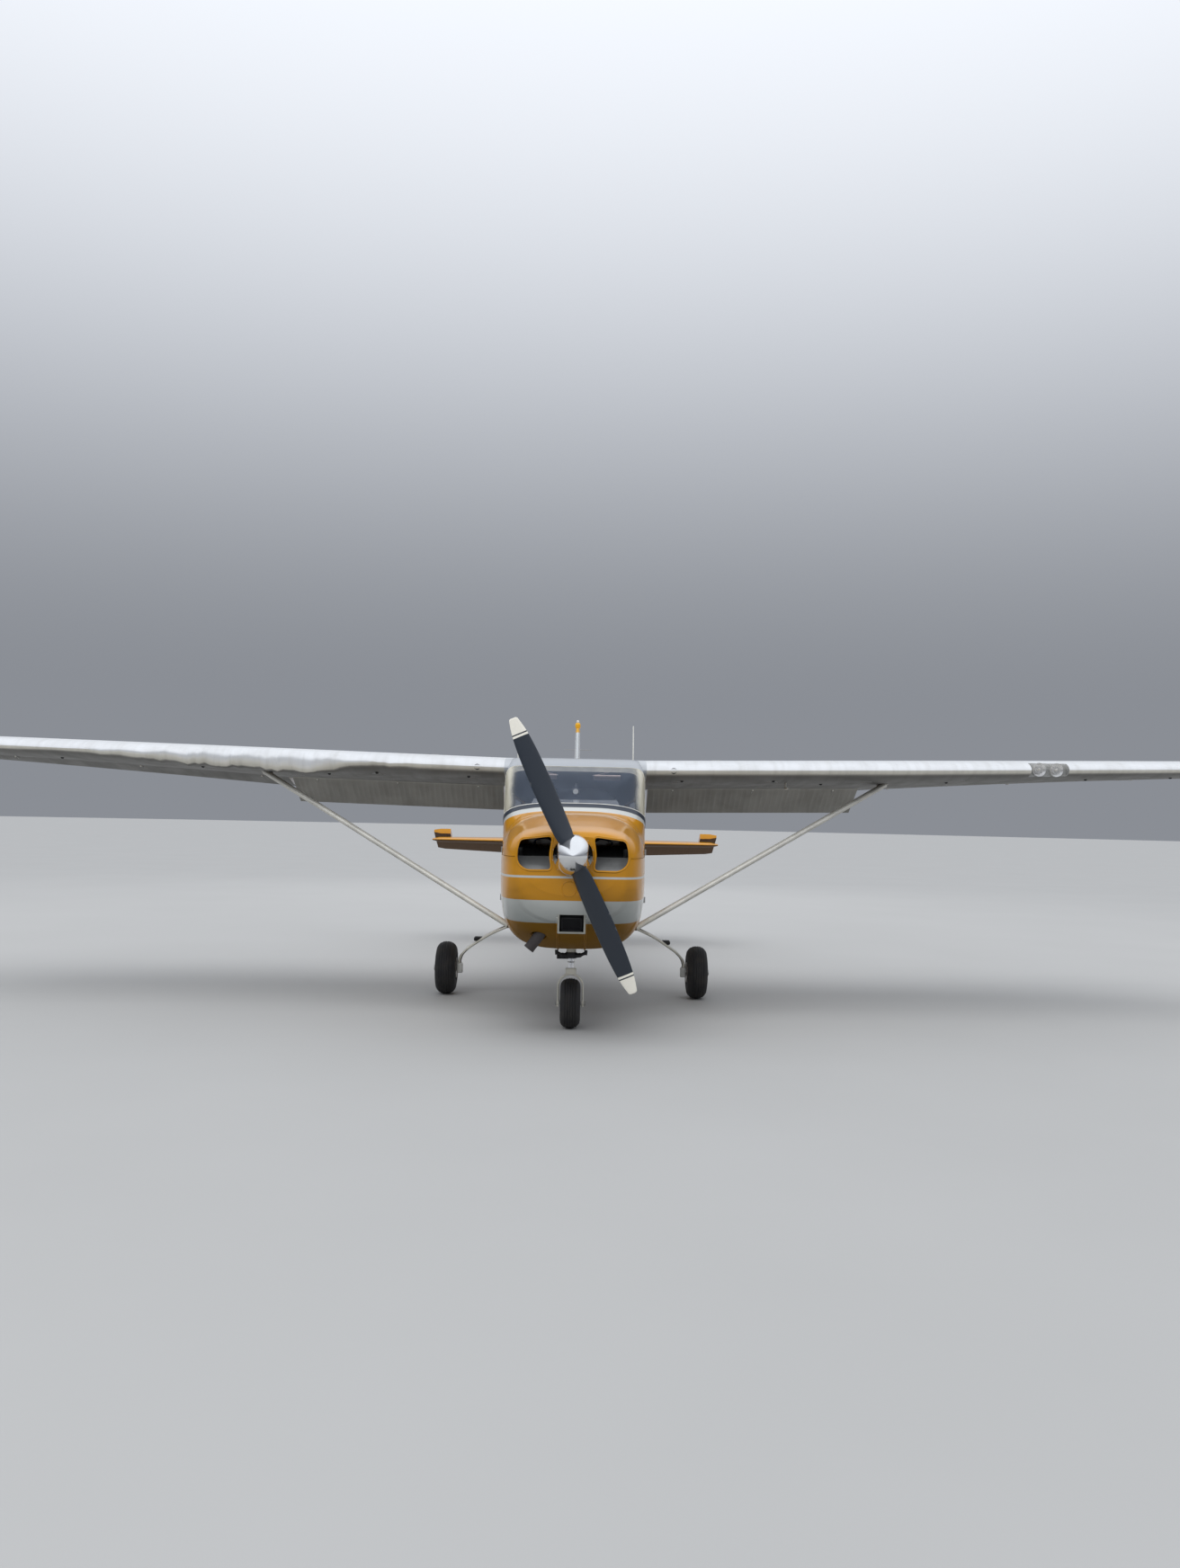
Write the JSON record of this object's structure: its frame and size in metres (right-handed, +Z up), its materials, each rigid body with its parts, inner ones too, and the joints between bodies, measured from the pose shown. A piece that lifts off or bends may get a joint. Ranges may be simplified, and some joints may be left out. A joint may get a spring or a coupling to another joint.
{
  "type": "four-seat high-wing light aircraft",
  "caption": "Strut-braced high-wing light aircraft with a single piston engine, fixed nosewheel gear, lowered flaps, hinged doors and moving control surfaces.",
  "frame": {"origin": "centre of the box on the ground it stands on", "axes": "+X to the aircraft's left wing tip, +Y aft, +Z up; the nose points to -Y"},
  "size_m": [10.97, 8.2, 2.745],
  "materials": {
    "amber_skin": "gloss amber paint with white bands on aluminium skin",
    "silver_skin": "weathered bare aluminium",
    "white_skin": "aged white paint on aluminium",
    "silver_strut": "silver paint, dulled",
    "white_gear": "white paint, chipped",
    "engine_iron": "grey, oily",
    "exhaust_steel": "heat-stained steel",
    "polished_metal": "polished",
    "blade_black": "matte black with white tips",
    "wheel_alloy": "painted cast wheel",
    "tyre_rubber": "worn ribbed tread",
    "clear_plastic": "clear acrylic, lightly weathered",
    "panel_trim": "matte dark instrument panel",
    "seat_cloth": "worn upholstery"
  },
  "bodies": {
    "airframe": {"cabin_shell": "amber_skin", "cabin_floor": "amber_skin", "aft_cabin": "amber_skin", "tail_cone": "amber_skin", "cowl_top": "amber_skin", "cowl_bottom": "amber_skin", "engine": "engine_iron", "exhaust_pipe": "exhaust_steel", "windscreen": "clear_plastic", "rear_glass": "clear_plastic", "instrument_panel": "panel_trim", "rear_seat": "seat_cloth", "stabilizer": "amber_skin", "fin": "white_skin", "nose_strut": "silver_strut", "pitot_tube": "silver_skin", "wing_left": "silver_skin", "wing_right": "silver_skin", "wing_strut_left": "silver_strut", "wing_strut_right": "silver_strut", "side_glass_left": "clear_plastic", "side_glass_right": "clear_plastic", "main_leg_left": "silver_strut", "main_leg_right": "silver_strut", "front_seat_left": "seat_cloth", "front_seat_right": "seat_cloth"},
    "propeller_set": {"propeller": "blade_black", "spinner": "polished_metal"},
    "nose_gear": {"nose_fork": "white_gear"},
    "nose_wheel": {"nose_tyre": "tyre_rubber", "nose_rim": "wheel_alloy"},
    "main_wheel_left": {"main_tyre_left": "tyre_rubber", "main_rim_left": "wheel_alloy"},
    "main_wheel_right": {"main_tyre_right": "tyre_rubber", "main_rim_right": "wheel_alloy"},
    "cabin_door_left": {"door_left": "amber_skin", "door_glass_left": "clear_plastic"},
    "cabin_door_right": {"door_right": "amber_skin", "door_glass_right": "clear_plastic"},
    "baggage_lid": {"baggage_door": "amber_skin"},
    "flap_body_left": {"flap_left": "silver_skin"},
    "flap_body_right": {"flap_right": "silver_skin"},
    "aileron_body_left": {"aileron_left": "silver_skin"},
    "aileron_body_right": {"aileron_right": "silver_skin"},
    "elevator_body": {"elevator": "amber_skin"},
    "rudder_body": {"rudder": "white_skin"}
  },
  "joints": [
    {"name": "propeller_spin", "type": "hinge", "parent": "airframe", "child": "propeller_set", "pos_m": [0, -3.92, 1.28], "axis": [0, 1, 0], "continuous": true},
    {"name": "nose_steer", "type": "hinge", "parent": "airframe", "child": "nose_gear", "pos_m": [0, -3.07, 0.1805], "axis": [0, 0.0693, 0.9976], "range_deg": [-30, 30]},
    {"name": "nose_wheel_spin", "type": "hinge", "parent": "nose_gear", "child": "nose_wheel", "pos_m": [0, -3.07, 0.1805], "axis": [1, 0, 0], "continuous": true},
    {"name": "main_wheel_left_spin", "type": "hinge", "parent": "airframe", "child": "main_wheel_left", "pos_m": [1.07, -1.42, 0.2225], "axis": [1, 0, 0], "continuous": true},
    {"name": "main_wheel_right_spin", "type": "hinge", "parent": "airframe", "child": "main_wheel_right", "pos_m": [-1.07, -1.42, 0.2225], "axis": [1, 0, 0], "continuous": true},
    {"name": "door_left_swing", "type": "hinge", "parent": "airframe", "child": "cabin_door_left", "pos_m": [0.556, -2.443, 1.2], "axis": [0, 0, -1], "range_deg": [0, 55]},
    {"name": "door_right_swing", "type": "hinge", "parent": "airframe", "child": "cabin_door_right", "pos_m": [-0.556, -2.443, 1.2], "axis": [0, 0, 1], "range_deg": [0, 55]},
    {"name": "baggage_door_swing", "type": "hinge", "parent": "airframe", "child": "baggage_lid", "pos_m": [0.498, -0.473, 1.2], "axis": [0, 0, -1], "range_deg": [0, 110]},
    {"name": "flap_left_turn", "type": "hinge", "parent": "airframe", "child": "flap_body_left", "pos_m": [0.64, -1.12095, 1.84901], "axis": [0.9998, 0, 0.0217], "range_deg": [-12, 28]},
    {"name": "flap_right_turn", "type": "hinge", "parent": "airframe", "child": "flap_body_right", "pos_m": [-0.64, -1.12095, 1.84901], "axis": [0.9998, 0, -0.0217], "range_deg": [-12, 28]},
    {"name": "aileron_left_turn", "type": "hinge", "parent": "airframe", "child": "aileron_body_left", "pos_m": [2.56, -1.00856, 1.87776], "axis": [0.9958, -0.0757, 0.0514], "range_deg": [-15, 20]},
    {"name": "aileron_right_turn", "type": "hinge", "parent": "airframe", "child": "aileron_body_right", "pos_m": [-2.56, -1.00856, 1.87776], "axis": [0.9958, 0.0757, -0.0514], "range_deg": [-3, 32]},
    {"name": "elevator_turn", "type": "hinge", "parent": "airframe", "child": "elevator_body", "pos_m": [0, 3.37, 1.213], "axis": [1, 0, 0], "range_deg": [0, 51]},
    {"name": "rudder_turn", "type": "hinge", "parent": "airframe", "child": "rudder_body", "pos_m": [0, 3.52, 1.012], "axis": [0, 0.1723, 0.9851], "range_deg": [-22, 22]}
  ],
  "couplings": [
    {"joint": "flap_right_turn", "follows": "flap_left_turn", "ratio": 1}
  ]
}
